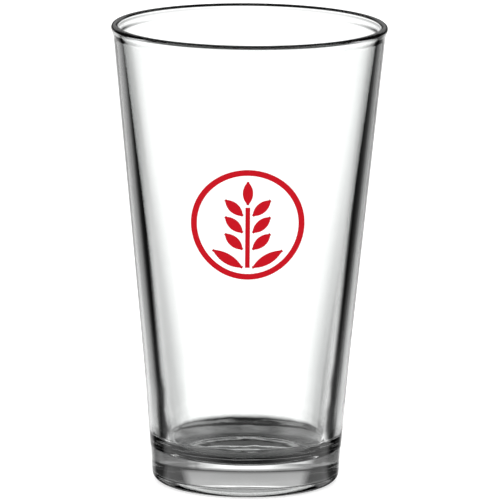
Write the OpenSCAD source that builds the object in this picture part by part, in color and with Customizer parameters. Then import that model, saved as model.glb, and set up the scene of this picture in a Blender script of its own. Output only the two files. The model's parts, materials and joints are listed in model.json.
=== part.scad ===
// Straight-sided pint glass, pressed in one piece, with a fired enamel print.
// The glass stands on the XY plane with its axis on Z, and the print faces -Y.

/* [Overall] */
// Height of the glass
glass_h = 149.2; // [124:0.1:180]
// Diameter over the rounded rim
rim_d = 88.9; // [74:0.1:107]
// Diameter of the foot where its wall would meet the table, before the heel is rounded
base_d = 60.3; // [50:0.1:72]

/* [Outer wall] */
// Height of the steeper band above the foot
band_h = 37; // [25:1:48]
// Diameter gained over that band
band_gain = 5.8; // [3:0.1:8]
// Radius of the rounded heel
heel_r = 2.9; // [1.2:0.1:4.5]

/* [Rim] */
// Thickness of the rounded rim
rim_t = 2.4; // [1.8:0.1:3.2]
// How far the rim stands proud of the line of the wall
rim_proud = 0.4; // [0.2:0.1:1.2]
// Height over which the wall flares out to the rim
swell_h = 3; // [2:0.5:8]

/* [Inside] */
// Thickness of the floor where it meets the wall
floor_t = 9.6; // [7:0.1:20]
// Depth of the shallow dish in the middle of the floor
dish_h = 1.1; // [0:0.1:2]
// Thickness of the wall at the height of the floor
wall_low = 6.2; // [4:0.1:8]
// Thickness that the wall thins to under the rim
wall_high = 2.4; // [2:0.1:3.6]
// How the wall thins towards the rim: 1 is an even taper, more thins it higher up
wall_curve = 1.3; // [1:0.1:2.5]
// Radius of the inside corner
corner_r = 7; // [3:0.1:14]

/* [Underside] */
// Width of the flat ring that the glass stands on
foot_ring_w = 2.1; // [1:0.1:4]
// Depth of the recess inside that ring
recess_h = 2.5; // [0.5:0.1:4]
// Width of the sloping edge of the recess
recess_edge_w = 1.6; // [1:0.1:6]
// How much deeper the recess is in its middle
crown_h = 0.6; // [0:0.1:1.5]

/* [Print] */
// Thickness of the fired enamel
film_t = 0.1; // [0.03:0.01:0.3]
// Height of the middle of the print above the table
print_z = 91; // [72:1:95]
// Width of the ring's line
line_w = 1.9; // [1:0.1:2.6]
// Width of the stem
stem_w = 1.5; // [0.8:0.1:2.5]
// Length of one kernel of the ear
kernel_l = 7.6; // [6:0.1:9]
// Width of one kernel
kernel_w = 3.3; // [2.4:0.1:3.9]
// Lean of a kernel away from the stem, in degrees
kernel_lean = 48; // [42:1:56]
// Rows of kernels on each side of the stem
kernel_rows = 3; // [2:1:4]
// Bare stem below the lowest kernels
stem_foot_l = 6; // [5:0.5:9]
// Length of a leaf
leaf_l = 11; // [8:0.5:12]
// Width of a leaf
leaf_w = 3.3; // [2:0.1:3.9]
// Lean of a leaf away from the stem, in degrees
leaf_lean = 60; // [56:1:66]
// Bare glass left between two pieces of the print
print_gap = 0.8; // [0.4:0.1:1]
// Bare glass left between the tips of the ear and the ring
ear_gap = 2; // [1:0.1:3]

/* [Hidden] */
SIDES = [["left", -1], ["right", 1]];
$fn = 160;

enamel_red = [0.76, 0.05, 0.14];
arc_steps = 10;   // straight pieces in a quarter of an arc
wall_steps = 14;  // straight pieces up the inner wall
hollow_steps = 12;  // straight pieces from the axis to the edge of a hollow

rim_r = rim_d / 2;
rim_round = rim_t / 2;
rim_z = glass_h - rim_round;   // height of the middle of the rounded rim
mouth_r = rim_r - rim_t;

base_r = base_d / 2;
band_slope = band_gain / 2 / band_h;
band_top_r = base_r + band_gain / 2;
cone_slope = (rim_r - rim_proud - band_top_r) / (glass_h - band_h);
heel_lean = atan(band_slope);
heel_z = heel_r * (1 - sin(heel_lean));   // where the heel runs into the band
heel_mid_r = base_r + band_slope * heel_z - heel_r * cos(heel_lean);
foot_inner_r = heel_mid_r - foot_ring_w;
recess_r = foot_inner_r - recess_edge_w;
swell_z = rim_z - swell_h;   // where the wall starts to flare out to the rim

// Print: heights are from its middle. The ring is drawn round the ear, whatever the ear's size.
row_x = stem_w / 2 + print_gap;
row_pitch = (kernel_w + print_gap) / sin(kernel_lean);   // keeps neighbours a gap apart
stem_l = stem_foot_l + (kernel_rows - 0.5) * row_pitch;
ear_half = (stem_l + print_gap + kernel_l) / 2;
stem_top_z = stem_l - ear_half;
ring_inner_r = ear_half + ear_gap;
ring_outer_r = ring_inner_r + line_w;

// A curve that leaves 0 and reaches 1 without a corner
function ease(t) = (1 - cos(180 * max(0, min(1, t)))) / 2;

// Radius of the plain outer wall at height z: a band, then a cone
function cone_radius(z) = z < band_h ? base_r + band_slope * z : band_top_r + cone_slope * (z - band_h);

// The wall is thickest at the floor and thins towards the rim
function wall_at(z) =
    let (up = max(0, min(1, (z - floor_t) / (rim_z - floor_t))))
    wall_high + (wall_low - wall_high) * (1 - up ^ wall_curve);

// Both faces of the wall flare out to meet the rounded rim
function flare(z) = ease((z - swell_z) / swell_h);
inner_flare = mouth_r - (cone_radius(rim_z) - wall_high);
function outer_radius(z) = cone_radius(z) + (rim_r - cone_radius(rim_z)) * flare(z);
function inner_radius(z) = cone_radius(z) - wall_at(z) + inner_flare * flare(z);

// The inside corner is an arc that runs into the floor and the wall
corner_top_z = floor_t + corner_r;
corner_lean = atan((inner_radius(corner_top_z + 1) - inner_radius(corner_top_z - 1)) / 2);
corner_z = corner_top_z - corner_r * sin(corner_lean);
corner_mid_r = inner_radius(corner_z) - corner_r * cos(corner_lean);

function arc(mid_r, mid_z, radius, from, to) =
    let (steps = max(2, ceil(arc_steps * abs(to - from) / 90)))
    [for (i = [0:steps]) let (a = from + (to - from) * i / steps)
        [mid_r + radius * cos(a), mid_z + radius * sin(a)]];

// Half section of the glass, from the middle of the underside round to the middle of the floor
recess_line = concat(
    [for (i = [0:hollow_steps - 1]) let (t = i / hollow_steps) [recess_r * t, recess_h + crown_h * (1 - t ^ 2)]],
    [for (i = [0:hollow_steps - 1]) let (t = i / hollow_steps)
        [recess_r + recess_edge_w * t, recess_h * (1 - ease(t))]]
);
heel_line = concat([[foot_inner_r, 0]], arc(heel_mid_r, heel_r, heel_r, -90, -heel_lean));
swell_line = [for (i = [0:arc_steps]) let (z = swell_z + swell_h * i / arc_steps) [outer_radius(z), z]];
rim_line = arc(rim_r - rim_round, rim_z, rim_round, 9, 180);
lip_line = [for (i = [1:arc_steps]) let (z = rim_z - swell_h * i / arc_steps) [inner_radius(z), z]];
inside_line = [for (i = [1:wall_steps]) let (z = swell_z + (corner_z - swell_z) * i / wall_steps)
    [inner_radius(z), z]];
corner_line = arc(corner_mid_r, floor_t + corner_r, corner_r, -corner_lean, -90);
dish_line = [for (i = [1:hollow_steps]) let (t = 1 - i / hollow_steps)
    [corner_mid_r * t, floor_t - dish_h * (1 - ease(t))]];
section = concat(recess_line, heel_line, [[band_top_r, band_h]], swell_line, rim_line, lip_line,
    inside_line, corner_line, dish_line);

module glass_body() {
    color([0.86, 0.91, 0.92, 0.35]) rotate_extrude() polygon(section);
}

// A skin of enamel on the front of the cone, cut to the outline given as a child.
// The outline is drawn as it is seen from the front, with its middle at print_z.
module fired_on() {
    low = print_z - ring_outer_r - print_gap;
    high = print_z + ring_outer_r + print_gap;
    color(enamel_red) intersection() {
        rotate_extrude() polygon([
            [cone_radius(low), low], [cone_radius(low) + film_t, low],
            [cone_radius(high) + film_t, high], [cone_radius(high), high]
        ]);
        translate([0, 0, print_z]) rotate([90, 0, 0]) linear_extrude(rim_d) children();
    }
}

// A pointed oval standing on its lower tip, leaning out from there
module blade(length, width, lean) {
    side_r = (length ^ 2 + width ^ 2) / (4 * width);
    rotate(-lean) translate([0, length / 2]) intersection() {
        translate([side_r - width / 2, 0]) circle(side_r);
        translate([width / 2 - side_r, 0]) circle(side_r);
    }
}

module print_ring() {
    fired_on() difference() {
        circle(ring_outer_r);
        circle(ring_inner_r);
    }
}

module print_stem() {
    fired_on() translate([-stem_w / 2, -ear_half]) square([stem_w, stem_l]);
}

module print_leaf(side) {
    fired_on() translate([side * row_x, -ear_half]) blade(leaf_l, leaf_w, side * leaf_lean);
}

module print_kernel_top() {
    fired_on() translate([0, stem_top_z + print_gap]) blade(kernel_l, kernel_w, 0);
}

// Row 1 is the top pair
module print_kernel(side, row) {
    fired_on() translate([side * row_x, stem_top_z - (row - 0.5) * row_pitch])
        blade(kernel_l, kernel_w, side * kernel_lean);
}

glass_body();
print_ring();
print_stem();
print_kernel_top();
for (side = SIDES) {
    print_leaf(side[1]);
    for (row = [1:kernel_rows])
        print_kernel(side[1], row);
}
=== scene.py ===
# %% [markdown]
# # A clear pint glass with a fired enamel print
# The glass is one pressed piece: a tapered wall, a flared and rounded lip, a thick floor and a
# recessed underside. It is a solid of revolution, so its half section is drawn once and spun. The
# print is a separate skin of enamel in eleven small areas, each drawn flat and then laid on the
# cone. Nothing moves on a pint glass, so every piece rides on the one body. Lengths are in metres.

# %% Load the frame
import json
import math

import bpy
from mathutils import Matrix, Vector

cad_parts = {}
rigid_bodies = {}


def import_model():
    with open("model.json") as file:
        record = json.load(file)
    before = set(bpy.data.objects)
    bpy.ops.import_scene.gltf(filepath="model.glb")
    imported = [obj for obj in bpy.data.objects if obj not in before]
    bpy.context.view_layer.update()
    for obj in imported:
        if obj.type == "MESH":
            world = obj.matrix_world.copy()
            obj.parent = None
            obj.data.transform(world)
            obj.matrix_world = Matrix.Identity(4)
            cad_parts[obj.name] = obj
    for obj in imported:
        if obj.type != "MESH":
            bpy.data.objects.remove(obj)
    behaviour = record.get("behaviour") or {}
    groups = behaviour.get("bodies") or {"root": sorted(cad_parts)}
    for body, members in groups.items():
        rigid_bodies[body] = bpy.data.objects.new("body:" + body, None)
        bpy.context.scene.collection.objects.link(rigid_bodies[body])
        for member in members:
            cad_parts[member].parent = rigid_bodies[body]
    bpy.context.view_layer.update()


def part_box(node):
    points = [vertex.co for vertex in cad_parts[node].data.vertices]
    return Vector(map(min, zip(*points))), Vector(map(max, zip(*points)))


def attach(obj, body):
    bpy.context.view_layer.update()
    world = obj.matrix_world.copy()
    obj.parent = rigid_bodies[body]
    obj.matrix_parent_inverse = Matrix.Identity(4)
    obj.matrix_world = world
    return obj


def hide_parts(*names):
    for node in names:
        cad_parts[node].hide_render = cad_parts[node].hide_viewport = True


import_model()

MM = 0.001
glass_low, glass_high = (Vector(corner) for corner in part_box("glass_body"))
glass_h = glass_high.z - glass_low.z
rim_r = (glass_high.x - glass_low.x) / 2
print(f"glass {glass_h / MM:.1f} mm tall, {2 * rim_r / MM:.1f} mm across the rim")

# %% [markdown]
# ## Selecting in code
# An operator works on whatever is selected, and the frame arrives with its parts selected. So
# every step starts from nothing selected, in object mode.


# %% Selection helper
def nothing_selected():
    if bpy.context.object and bpy.context.object.mode != "OBJECT":
        bpy.ops.object.mode_set(mode="OBJECT")
    bpy.ops.object.select_all(action="DESELECT")


nothing_selected()
print(f"{len(bpy.context.selected_objects)} objects selected")

# %% [markdown]
# ## The half section of the glass
# The outline runs from the middle of the underside, round the foot and heel, up the wall, over
# the lip and back down inside to the middle of the floor. It could be one long curve, but a mould
# maker draws it as straight runs, arcs and a few eased steps, and so does this cell. Refraction
# shows every facet, so each bend gets generous points and each straight run gets few.

# %% Sizes of the section
base_r = 30.15 * MM
band_h, band_gain = 37 * MM, 5.8 * MM
heel_r = 2.9 * MM
rim_t, rim_proud, swell_h = 2.4 * MM, 0.4 * MM, 3 * MM
floor_t, dish_h = 9.6 * MM, 1.1 * MM
wall_low, wall_high, wall_curve = 6.2 * MM, 2.4 * MM, 1.3
corner_r = 7 * MM
foot_ring_w, recess_h, recess_edge_w, crown_h = 2.1 * MM, 2.5 * MM, 1.6 * MM, 0.6 * MM

rim_round = rim_t / 2
rim_z = glass_h - rim_round
mouth_r = rim_r - rim_t
band_slope = band_gain / 2 / band_h
band_top_r = base_r + band_gain / 2
cone_slope = (rim_r - rim_proud - band_top_r) / (glass_h - band_h)
swell_z = rim_z - swell_h
BEND = 0.1 * MM  # how far the change from band to cone is softened


def ease(t):
    """Leaves 0 and reaches 1 without a corner."""
    return (1 - math.cos(math.pi * max(0.0, min(1.0, t)))) / 2


def flare(z):
    return ease((z - swell_z) / swell_h)


def cone_radius(z):
    """The plain outer wall: a band, then a cone, with the change between them softened."""
    band = base_r + band_slope * z
    cone = band_top_r + cone_slope * (z - band_h)
    return (band + cone + math.hypot(band - cone, BEND)) / 2


def outer_radius(z):
    return cone_radius(z) + (rim_r - cone_radius(rim_z)) * flare(z)


inner_flare = mouth_r - (cone_radius(rim_z) - wall_high)


def inner_radius(z):
    up = max(0.0, min(1.0, (z - floor_t) / (rim_z - floor_t)))
    wall = wall_high + (wall_low - wall_high) * (1 - up**wall_curve)
    return cone_radius(z) - wall + inner_flare * flare(z)


# %% The outline
def straight(low, high, steps):
    return [low + (high - low) * i / steps for i in range(steps + 1)]


def arc(mid_r, mid_z, radius, start, end, steps):
    angles = [math.radians(a) for a in straight(start, end, steps)]
    return [(mid_r + radius * math.cos(a), mid_z + radius * math.sin(a)) for a in angles]


heel_lean = math.degrees(math.atan(band_slope))
heel_z = heel_r * (1 - math.sin(math.radians(heel_lean)))
heel_mid_r = base_r + band_slope * heel_z - heel_r * math.cos(math.radians(heel_lean))
foot_inner_r = heel_mid_r - foot_ring_w
recess_r = foot_inner_r - recess_edge_w
corner_top_z = floor_t + corner_r
corner_slope = (inner_radius(corner_top_z + MM) - inner_radius(corner_top_z - MM)) / (2 * MM)
corner_lean = math.degrees(math.atan(corner_slope))
corner_z = corner_top_z - corner_r * math.sin(math.radians(corner_lean))
corner_mid_r = inner_radius(corner_z) - corner_r * math.cos(math.radians(corner_lean))

outline = [(recess_r * t, recess_h + crown_h * (1 - t**2)) for t in straight(0, 1, 16)]
outline += [(recess_r + recess_edge_w * t, recess_h * (1 - ease(t))) for t in straight(0, 1, 14)[1:]]
outline += [(r, 0.0) for r in straight(foot_inner_r, heel_mid_r, 3)[1:-1]]
outline += arc(heel_mid_r, heel_r, heel_r, -90, -heel_lean, 14)
outline += [(outer_radius(z), z) for z in straight(heel_z, swell_z, 40)[1:]]
outline += [(outer_radius(z), z) for z in straight(swell_z, rim_z, 14)[1:]]
outline += arc(rim_r - rim_round, rim_z, rim_round, 0, 180, 20)[1:]
outline += [(inner_radius(z), z) for z in straight(rim_z, swell_z, 14)[1:]]
outline += [(inner_radius(z), z) for z in straight(swell_z, corner_z, 40)[1:-1]]
outline += arc(corner_mid_r, corner_top_z, corner_r, -corner_lean, -90, 24)
outline += [(corner_mid_r * t, floor_t - dish_h * (1 - ease(t))) for t in straight(1, 0, 24)[1:]]
print(f"{len(outline)} points in the half section, mouth {2 * mouth_r / MM:.1f} mm wide")

# %% [markdown]
# ## Spinning the glass
# A plane is the start. It is merged to one vertex on the axis, the vertex is extruded from point
# to point of the section, and the line is spun through a full turn. Merging by distance closes
# the seam and the two poles. A lathe modifier (Screw) would do as well, but spinning leaves plain
# mesh at once, ready for the next step.

# %% Spin the section
SEGMENTS = 256


def spun(name, points):
    nothing_selected()
    first = Vector((points[0][0], 0, points[0][1]))
    bpy.ops.mesh.primitive_plane_add(size=MM, location=first)
    piece = bpy.context.object
    piece.name = piece.data.name = name
    bpy.ops.object.transform_apply(location=True)
    bpy.ops.object.mode_set(mode="EDIT")
    bpy.ops.mesh.merge(type="CENTER")
    for here, there in zip(points, points[1:]):
        step = (there[0] - here[0], 0, there[1] - here[1])
        bpy.ops.mesh.extrude_region_move(TRANSFORM_OT_translate={"value": step})
    bpy.ops.mesh.select_all(action="SELECT")
    bpy.ops.mesh.spin(steps=SEGMENTS, angle=2 * math.pi, center=(0, 0, 0), axis=(0, 0, 1))
    bpy.ops.mesh.select_all(action="SELECT")
    bpy.ops.mesh.remove_doubles(threshold=0.002 * MM)
    bpy.ops.mesh.normals_make_consistent(inside=False)
    bpy.ops.object.mode_set(mode="OBJECT")
    bpy.ops.object.shade_smooth()
    return piece


glass = spun("pint_glass", outline)
print(f"{glass.name}: {len(glass.data.polygons)} faces")

# %% [markdown]
# ## Ripple in the pressed glass
# The plunger chills the glass that it touches, so the floor of a cheap tumbler is never quite
# true: it has shallow waves that make what is seen through it swim. Sculpting them would do, but
# a Displace modifier with a cloud texture gives waves of one known size. A vertex group keeps
# them to the floor, where they are deepest, and lets them die out up the wall.

# %% Press the ripple
RIPPLE = 0.13 * MM
RIPPLE_LENGTH = 5 * MM


def rippled(piece, depth, length, low, high):
    """Waves of that depth on the faces inside the cup, full below low and gone above high."""
    group = piece.vertex_groups.new(name="ripple")
    for vertex in piece.data.vertices:
        height = vertex.co.z
        radius = math.hypot(vertex.co.x, vertex.co.y)
        inside = height > floor_t - 2 * dish_h and radius < inner_radius(height) + wall_low / 2
        if inside and height < high:
            group.add([vertex.index], 1 - ease((height - low) / (high - low)), "REPLACE")
    clouds = bpy.data.textures.new("ripple", "CLOUDS")
    clouds.noise_scale = length
    waves = piece.modifiers.new("ripple", "DISPLACE")
    waves.texture = clouds
    waves.texture_coords = "LOCAL"
    waves.strength = depth
    waves.vertex_group = group.name
    nothing_selected()
    piece.select_set(True)
    bpy.context.view_layer.objects.active = piece
    bpy.ops.object.modifier_apply(modifier=waves.name)
    piece.vertex_groups.clear()
    bpy.data.textures.remove(clouds)


rippled(glass, RIPPLE, RIPPLE_LENGTH, floor_t, 5 * floor_t)
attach(glass, "root")
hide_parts("glass_body")

# %% [markdown]
# ## Laying enamel on the cone
# Screen-printed enamel is a skin, thinner than paper, that follows the glass. It could be painted
# as a texture, but the real skin has an edge and a thickness, so each area of the print is a
# piece of its own. Each is drawn flat in front of the glass with a grid of faces, because only
# vertices can bend. Shrinkwrap throws them on the wall along the printing direction, Solidify
# gives the thickness, and a small Bevel rounds the edge as surface tension does in the kiln.

# %% Sizes of the print
ring_low, ring_high = (Vector(corner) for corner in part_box("print_ring"))
print_z = (ring_low.z + ring_high.z) / 2
ring_outer_r = (ring_high.x - ring_low.x) / 2
line_w, stem_w, print_gap, ear_gap = 1.9 * MM, 1.5 * MM, 0.8 * MM, 2 * MM
kernel_l, kernel_w, kernel_lean, kernel_rows = 7.6 * MM, 3.3 * MM, 48, 3
leaf_l, leaf_w, leaf_lean = 11 * MM, 3.3 * MM, 60
film_t = 0.08 * MM
film_lift = 0.015 * MM  # keeps the two surfaces from sharing one plane

ear_half = ring_outer_r - line_w - ear_gap
stem_l = 2 * ear_half - print_gap - kernel_l
stem_top = stem_l - ear_half
row_x = stem_w / 2 + print_gap
row_pitch = (kernel_w + print_gap) / math.sin(math.radians(kernel_lean))
print(f"print {2 * ring_outer_r / MM:.1f} mm across, its middle {print_z / MM:.1f} mm up")


# %% Wrap a flat piece
def fired_on(piece, node):
    """Throws the flat piece on the wall, makes it a film, and lets it stand for its CAD node."""
    nothing_selected()
    piece.select_set(True)
    bpy.context.view_layer.objects.active = piece
    bpy.ops.object.transform_apply(location=True, rotation=True, scale=True)
    wrap = piece.modifiers.new("wrap", "SHRINKWRAP")
    wrap.target = glass
    wrap.wrap_method = "PROJECT"
    wrap.use_project_y = True
    wrap.offset = film_lift
    film = piece.modifiers.new("film", "SOLIDIFY")
    film.thickness = film_t
    film.offset = 1
    edge = piece.modifiers.new("edge", "BEVEL")
    edge.width = 0.4 * film_t
    edge.segments = 2
    for modifier in (wrap, film, edge):
        bpy.ops.object.modifier_apply(modifier=modifier.name)
    bpy.ops.object.shade_smooth_by_angle(angle=math.radians(40))
    piece.name = piece.data.name = node.replace("print", "enamel")
    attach(piece, "root")
    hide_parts(node)
    low, high = (Vector(corner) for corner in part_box(node))
    middle = sum((Vector(corner) for corner in piece.bound_box), Vector()) / 8
    apart = (middle - (low + high) / 2).length
    print(f"{piece.name}: {len(piece.data.polygons)} faces, middle {apart / MM:.2f} mm from its node's")


# %% [markdown]
# ## The ring
# The ring is a disc whose rim is inset four times and whose middle is then deleted. The four
# narrow rings of faces that stay let the line bend with the glass.

# %% Print the ring
FRONT = -1.5 * rim_r  # the flat pieces wait here, in front of the glass


def facing_front(piece):
    piece.rotation_euler.x = math.pi / 2
    piece.location = (0, FRONT, print_z)
    bpy.ops.object.transform_apply(location=True, rotation=True)


INSETS = 4
nothing_selected()
bpy.ops.mesh.primitive_circle_add(vertices=160, radius=ring_outer_r, fill_type="NGON")
ring = bpy.context.object
facing_front(ring)
bpy.ops.object.mode_set(mode="EDIT")
bpy.ops.mesh.select_all(action="SELECT")
for _ in range(INSETS):
    bpy.ops.mesh.inset(thickness=line_w / INSETS)
bpy.ops.mesh.delete(type="FACE")
bpy.ops.object.mode_set(mode="OBJECT")
fired_on(ring, "print_ring")

# %% [markdown]
# ## The stem
# The stem is a straight bar. A grid primitive, scaled to its size, has the faces that it needs.

# %% Print the stem
nothing_selected()
bpy.ops.mesh.primitive_grid_add(x_subdivisions=4, y_subdivisions=36, size=1)
stem = bpy.context.object
stem.scale = (stem_w, stem_l, 1)
bpy.ops.object.transform_apply(scale=True)
facing_front(stem)
stem.location.z = stem_top - stem_l / 2
fired_on(stem, "print_stem")

# %% [markdown]
# ## Kernels and leaves
# A kernel is a pointed oval, which is what two equal arcs enclose. One vertex is spun about a
# centre to draw the right arc, a mirrored copy is the left arc, and bridging the two with cuts
# fills the oval with rows of faces. The two tips are then merged. The same few steps draw a leaf,
# which is only longer, and each copy is leaned out from the stem and moved to its row.


# %% A pointed oval
ARC_STEPS = 24


def blade(length, width, lean, foot_x, foot_up):
    """A flat pointed oval on its lower tip, which is foot_x to the right and foot_up above."""
    side_r = (length**2 + width**2) / (4 * width)
    half_turn = math.asin(length / 2 / side_r)
    nothing_selected()
    bpy.ops.mesh.primitive_plane_add(size=MM)
    piece = bpy.context.object
    bpy.ops.object.mode_set(mode="EDIT")
    bpy.ops.mesh.merge(type="CENTER")
    centre = (width / 2 - side_r, length / 2, 0)
    bpy.ops.mesh.spin(steps=ARC_STEPS, angle=2 * half_turn, center=centre, axis=(0, 0, -1))
    bpy.ops.mesh.select_all(action="SELECT")
    bpy.ops.mesh.duplicate()
    bpy.ops.transform.resize(value=(-1, 1, 1), center_override=(0, 0, 0))
    bpy.ops.mesh.select_all(action="SELECT")
    bpy.ops.mesh.bridge_edge_loops(number_cuts=7)
    bpy.ops.mesh.select_all(action="SELECT")
    bpy.ops.mesh.remove_doubles(threshold=0.01 * MM)
    bpy.ops.mesh.normals_make_consistent(inside=False)
    bpy.ops.object.mode_set(mode="OBJECT")
    if piece.data.polygons[0].normal.z < 0:
        piece.data.flip_normals()
    piece.rotation_euler.z = -math.radians(lean)
    bpy.ops.object.transform_apply(rotation=True)
    facing_front(piece)
    piece.location = (foot_x, 0, foot_up)
    return piece


# %% Print the ear of grain
fired_on(blade(kernel_l, kernel_w, 0, 0, stem_top + print_gap), "print_kernel_top")
for side, turn in (("left", -1), ("right", 1)):
    leaf = blade(leaf_l, leaf_w, turn * leaf_lean, turn * row_x, -ear_half)
    fired_on(leaf, f"print_leaf_{side}")
    for row in range(kernel_rows):
        foot_up = stem_top - (row + 0.5) * row_pitch
        kernel = blade(kernel_l, kernel_w, turn * kernel_lean, turn * row_x, foot_up)
        fired_on(kernel, f"print_kernel_{side}_{row + 1}")

# %% [markdown]
# ## Shader maths as expressions
# A material is a sum done at every point of a surface. Wired by hand it is a web of Math nodes,
# which is hard to read. The class Wire wraps a socket, so that an expression such as
# 1 - mask * 0.5 adds those nodes by itself, and Board.node makes any other kind of node.


# %% Wires and boards
class Wire:
    """A socket that can stand in an expression: its operators add Math nodes."""

    def __init__(self, board, socket):
        self.board, self.socket = board, socket

    def maths(self, operation, first, second):
        return self.board.node("Math", {"operation": operation}, {0: first, 1: second})

    def __add__(self, other):
        return self.maths("ADD", self, other)

    def __radd__(self, other):
        return self.maths("ADD", other, self)

    def __sub__(self, other):
        return self.maths("SUBTRACT", self, other)

    def __rsub__(self, other):
        return self.maths("SUBTRACT", other, self)

    def __mul__(self, other):
        return self.maths("MULTIPLY", self, other)

    def __rmul__(self, other):
        return self.maths("MULTIPLY", other, self)

    def __truediv__(self, other):
        return self.maths("DIVIDE", self, other)

    def part(self, name):
        """Another output of the same node, such as one axis of a vector."""
        return Wire(self.board, self.socket.node.outputs[name])


class Board:
    """The node tree of a new material."""

    def __init__(self, name):
        self.material = bpy.data.materials.new(name)
        self.material.use_nodes = True
        self.tree = self.material.node_tree
        self.tree.nodes.clear()

    def node(self, kind, settings=None, sockets=None, output=0):
        made = self.tree.nodes.new("ShaderNode" + kind)
        for name, value in (settings or {}).items():
            if name == "stops":
                set_stops(made.color_ramp, value)
            else:
                setattr(made, name, value)
        for name, value in (sockets or {}).items():
            if isinstance(value, Wire):
                self.tree.links.new(value.socket, made.inputs[name])
            else:
                made.inputs[name].default_value = value
        return Wire(self, made.outputs[output]) if made.outputs else None

    def mix(self, factor, first, second):
        """A colour between two colours."""
        return self.node("Mix", {"data_type": "RGBA"}, {0: factor, 6: first, 7: second}, output=2)

    def noise(self, place, length, detail=2.0):
        """Cloudy noise from 0 to 1, whose lumps are about that long."""
        return self.node("TexNoise", sockets={"Vector": place, "Scale": 1 / length, "Detail": detail})

    def finish(self, surface):
        self.node("OutputMaterial", sockets={"Surface": surface})
        print(f"{self.material.name}: {len(self.tree.nodes)} nodes")
        return self.material


def set_stops(ramp, stops):
    """Gives a ramp its stops as (place, grey) pairs."""
    ramp.elements[0].position, ramp.elements[1].position = stops[0][0], stops[-1][0]
    for stop in stops[1:-1]:
        ramp.elements.new(stop[0])
    for element, stop in zip(ramp.elements, stops):
        element.color = (stop[1], stop[1], stop[1], 1)


# %% [markdown]
# ## Clear glass
# Soda-lime glass bends light by an index of 1.52 and has almost no colour of its own: only a
# breath of green-grey, a little stronger where the melt was richer in iron. Fire polishing leaves
# a skin that is smooth but not flat, so a faint bump follows noise a few millimetres long. The
# ring that the glass stands on is scuffed by every table it has met, so roughness rises there.
# Index and transmission are the same everywhere, so they are plain numbers on the shader.


# %% Glass finish
def clear_glass():
    board = Board("clear_glass")
    place = board.node("TexCoord", output="Object")
    height = board.node("SeparateXYZ", sockets={0: place}, output="Z")
    melt = board.noise(place, 30 * MM)
    colour = board.mix(melt, (0.965, 0.98, 0.975, 1), (0.985, 0.99, 0.985, 1))
    scuff_reach = {"Value": height, "From Min": 0.0, "From Max": 0.8 * MM, "To Min": 1.0, "To Max": 0.0}
    low_down = board.node("MapRange", sockets=scuff_reach)
    grit = board.noise(place, 0.4 * MM, detail=6.0)
    roughness = low_down * grit * 0.35
    skin = board.noise(place, 6 * MM) + 0.3 * board.noise(place, 2 * MM)
    bump = board.node("Bump", sockets={"Height": skin, "Distance": 0.004 * MM, "Strength": 1.0})
    surface = board.node("BsdfPrincipled", sockets={
        "Base Color": colour,
        "Roughness": roughness,
        "Normal": bump,
        "IOR": 1.52,
        "Transmission Weight": 1.0,
    })
    return board.finish(surface)


glass.data.materials.append(clear_glass())

# %% [markdown]
# ## Red enamel
# Enamel ink is ground glass and pigment, pushed through a screen and fused to the tumbler. It is
# opaque and satin. The weave of the screen stays in it as a very fine relief, and the pigment
# lies a little unevenly, so colour and roughness both drift over a millimetre or two. A woven
# relief is two sine waves multiplied, one for each direction of the threads.


# %% Enamel finish
def red_enamel():
    board = Board("red_enamel")
    place = board.node("TexCoord", output="Object")
    across = board.node("SeparateXYZ", sockets={0: place}, output="X")
    upward = across.part("Z")
    thread = 2 * math.pi / (0.14 * MM)
    warp = board.node("Math", {"operation": "SINE"}, {0: (across + upward) * thread})
    weft = board.node("Math", {"operation": "SINE"}, {0: (across - upward) * thread})
    weave = warp * weft
    drift = board.noise(place, 1.5 * MM, detail=4.0)
    colour = board.mix(drift, (0.47, 0.001, 0.007, 1), (0.53, 0.002, 0.011, 1))
    relief = 0.5 * weave + drift
    bump = board.node("Bump", sockets={"Height": relief, "Distance": 0.004 * MM, "Strength": 0.6})
    surface = board.node("BsdfPrincipled", sockets={
        "Base Color": colour,
        "Roughness": 0.34 + 0.2 * drift,
        "Normal": bump,
        "Specular IOR Level": 0.1,
    })
    return board.finish(surface)


enamel = red_enamel()
for piece in bpy.data.objects:
    if piece.name.startswith("enamel_"):
        piece.data.materials.append(enamel)

# %% [markdown]
# ## The camera
# A long lens from two metres keeps the sides of the glass nearly parallel. The camera looks down
# by about eleven degrees, so that the mouth shows as a narrow oval, and it is rolled by half a
# degree, as a hand-set tripod often is.

# %% Set the camera
ELEVATION = math.radians(11.15)
ROLL = math.radians(0.528)
DISTANCE = 2.039
SENSOR_W, FOCAL_LENGTH = 36, 454.8  # both in millimetres, as on a camera
back = Vector((0, -math.cos(ELEVATION), math.sin(ELEVATION)))
right = Vector((1, 0, 0))
up = back.cross(right)
aim = Vector((0, 0, glass_h / 2)) + 0.8 * MM * right + 0.77 * MM * up

nothing_selected()
bpy.ops.object.camera_add()
camera = bpy.context.object
camera.name = "camera"
camera.location = aim + DISTANCE * back
camera.rotation_mode = "QUATERNION"
level_aim = (-back).to_track_quat("-Z", "Y")
camera.rotation_quaternion = level_aim @ Matrix.Rotation(ROLL, 4, "Z").to_quaternion()
camera.data.sensor_width = SENSOR_W
camera.data.lens = FOCAL_LENGTH
camera.data.clip_end = 100
bpy.context.scene.camera = camera
print(f"camera {DISTANCE:.2f} m away, {math.degrees(ELEVATION):.1f} degrees up")

# %% [markdown]
# ## Floor and daylight
# The floor is a broad pale sheet of acrylic. It glows a little, as a light table does, so that it
# stays pale behind the glass. The world is an even white. A glass shows only what stands round
# it, and the next step makes those surroundings, so the floor keeps out of its refractions.

# %% Floor and world
FLOOR_SIZE = 8
FLOOR_DROP = 0.1 * MM
scene = bpy.context.scene
scene.view_settings.view_transform = "Standard"
world = bpy.data.worlds.new("daylight")
scene.world = world
world.use_nodes = True
world.node_tree.nodes["Background"].inputs["Color"].default_value = (1, 1, 1, 1)
world.node_tree.nodes["Background"].inputs["Strength"].default_value = 1.0


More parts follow.
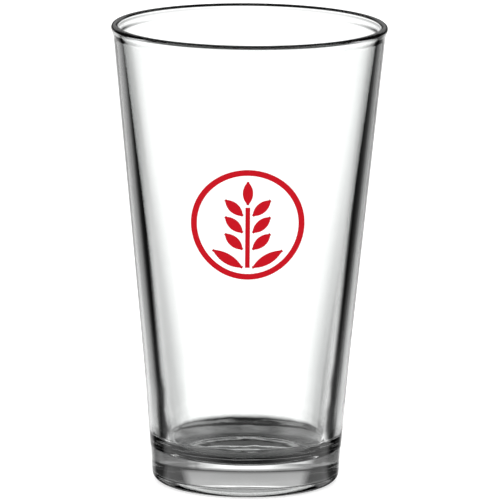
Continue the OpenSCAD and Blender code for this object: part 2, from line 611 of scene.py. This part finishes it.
def pale_acrylic():
    board = Board("pale_acrylic")
    place = board.node("TexCoord", output="Object")
    cloud = board.noise(place, 0.4)
    surface = board.node("BsdfPrincipled", sockets={
        "Base Color": board.mix(cloud, (0.88, 0.88, 0.88, 1), (0.92, 0.92, 0.92, 1)),
        "Roughness": 0.5,
        "Emission Color": (1, 1, 1, 1),
        "Emission Strength": 0.6,
    })
    return board.finish(surface)


nothing_selected()
bpy.ops.mesh.primitive_plane_add(size=FLOOR_SIZE, location=(0, 0, -FLOOR_DROP))
floor = bpy.context.object
floor.name = "floor"
floor.data.materials.append(pale_acrylic())
floor.visible_transmission = False
floor.visible_glossy = False

# %% [markdown]
# ## The light tent
# A product photographer lights clear glass from behind: a bright sheet fills the middle of the
# view, grey sheets stand beside it, and black cards further round draw the dark lines that show
# the edge of the glass. A second, broader sheet hangs above and behind. Here they are painted on
# a large sphere, seen only through and in the glass. For each sheet, one gradient says how bright
# it is to either side, in degrees from straight behind, and one how bright it is above and below
# the line of sight. The tent is turned and tilted to suit the view from the front, and stands
# still. Further sheets at both sides and in front, and a low one round all but the back, keep much
# of the glass clear from elsewhere. The gaps between them look dark through the glass.

# %% Hang the tent
SIDES_AND_FRONT = [(72, 0.02), (80, 0.9), (100, 0.9), (108, 0.02), (150, 0.05), (160, 0.9), (180, 1)]
SHEET_LEFT = [
    (0, 1), (8, 0.95), (15, 0.6), (28, 0.5), (36, 0.05), (45, 0.02),
] + SIDES_AND_FRONT
SHEET_RIGHT = [
    (8, 0.95), (15, 0.65), (20, 0.5), (22, 0.2), (24, 0.3), (28, 0.1), (45, 0.02), (52, 0.1),
    (60, 0.02),
] + SIDES_AND_FRONT
SHEET_RISE = [(-90, 0), (-10, 0), (-5, 0.75), (-3, 1), (3, 1), (6, 0.5), (15, 0), (90, 0)]
ABOVE_SIDE = [(28, 0.9), (35, 0.05), (150, 0.1), (180, 0.8)]
ABOVE_RISE = [(-90, 0), (15, 0), (20, 0.3), (30, 0.4), (70, 0.3), (75, 0.6), (82, 0.6), (90, 0.1)]
LOW_SIDE = [(32, 0), (40, 0.9), (180, 0.9)]
LOW_RISE = [(-90, 0), (-34, 0), (-28, 0.9), (-14, 0.9), (-11, 0), (90, 0)]
BRIGHTEST = 1.35
DARKEST = 0.005
TENT_R = 30


def tent_cloth():
    board = Board("tent_cloth")
    place = board.node("TexCoord", output="Object")
    side = board.node("SeparateXYZ", sockets={0: place}, output="X")
    above, behind = side.part("Y"), 0 - side.part("Z")
    turn = board.node("Math", {"operation": "ARCTAN2"}, {0: side, 1: behind}) / (2 * math.pi) + 0.5
    reach = board.node("VectorMath", {"operation": "LENGTH"}, {0: place}, output="Value")
    tilt = board.node("Math", {"operation": "ARCSINE"}, {0: above / reach}) / math.pi + 0.5

    def sheet(to_left, to_right, rise):
        stops = [(0.5 - degrees / 360, grey) for degrees, grey in reversed(to_left)]
        stops += [(0.5 + degrees / 360, grey) for degrees, grey in to_right]
        sideways = board.node("ValToRGB", {"stops": stops}, {0: turn})
        rise_stops = [(0.5 + degrees / 180, grey) for degrees, grey in rise]
        upright = board.node("ValToRGB", {"stops": rise_stops}, {0: tilt})
        return sideways * upright

    level = sheet(SHEET_LEFT, SHEET_RIGHT, SHEET_RISE)
    above_all = sheet([(0, 1)] + ABOVE_SIDE, ABOVE_SIDE, ABOVE_RISE)
    low = sheet([(0, 0)] + LOW_SIDE, LOW_SIDE, LOW_RISE)
    light = level + above_all + low
    glow = board.node("Emission", sockets={"Color": light * BRIGHTEST + DARKEST, "Strength": 1.0})
    return board.finish(glow)


nothing_selected()
bpy.ops.mesh.primitive_uv_sphere_add(segments=64, ring_count=32, radius=TENT_R)
tent = bpy.context.object
tent.name = "tent"
tent.location = aim
tent.rotation_mode = "QUATERNION"
tent.rotation_quaternion = camera.rotation_quaternion
tent.visible_camera = False
tent.visible_diffuse = False
tent.visible_shadow = False
cloth = tent_cloth()
cloth.cycles.emission_sampling = "NONE"
tent.data.materials.append(cloth)

# %% [markdown]
# ## Light on the floor round the foot
# A glass gathers light and throws it on the table, close round its foot, and under the foot there
# is shade. The thick base shows that floor again, as grey patches. A small disc that only
# refraction can see carries them: shade under the glass, a grey ring round it, and beyond the
# ring some streaks to either side, with clear gaps between. Noise breaks all of it up.

# %% Streaks of light
POOL_R = 66 * MM
POOL_GLOW = 0.25
POOL_DROP = 0.2 * MM  # below the foot and the floor, so that no two surfaces share a plane


def streaks():
    board = Board("streaks")
    place = board.node("TexCoord", output="Object")
    reach = board.node("VectorMath", {"operation": "LENGTH"}, {0: place}, output="Value") / POOL_R
    across = board.node("SeparateXYZ", sockets={0: place}, output="X")
    beside = board.node("Math", {"operation": "ABSOLUTE"}, {0: across})
    beside = board.node("MapRange", sockets={"Value": beside, "From Min": 3 * MM, "From Max": 8 * MM})
    lumps = board.noise(place, 14 * MM, detail=3.0)
    mottle = board.node("MapRange", sockets={
        "Value": lumps, "From Min": 0.35, "From Max": 0.65, "To Min": 0.35, "To Max": 1.0,
    })
    broken = board.node("MapRange", sockets={"Value": lumps, "From Min": 0.42, "From Max": 0.5})
    lit = board.node("ValToRGB", {"stops": [(0, 0), (0.47, 0), (0.53, 1), (1, 1)]}, {0: reach})
    whole = board.node("ValToRGB", {"stops": [(0, 1), (0.685, 1), (0.705, 0), (1, 0)]}, {0: reach})
    strewn_stops = [(0, 0), (0.76, 0), (0.79, 1), (0.9, 1), (0.95, 0)]
    strewn = board.node("ValToRGB", {"stops": strewn_stops}, {0: reach})
    glow = board.node("Emission", sockets={"Color": lit * mottle * POOL_GLOW, "Strength": 1.0})
    clear = board.node("BsdfTransparent")
    cover = whole + strewn * broken * beside
    surface = board.node("MixShader", sockets={0: cover, 1: clear, 2: glow})
    return board.finish(surface)


nothing_selected()
bpy.ops.mesh.primitive_circle_add(
    vertices=64, radius=POOL_R, fill_type="NGON", location=(0, 0, -POOL_DROP)
)
pool = bpy.context.object
pool.name = "pool"
pool.visible_camera = False
pool.visible_diffuse = False
pool.visible_glossy = False
pool.visible_shadow = False
pool_light = streaks()
pool_light.cycles.emission_sampling = "NONE"
pool.data.materials.append(pool_light)
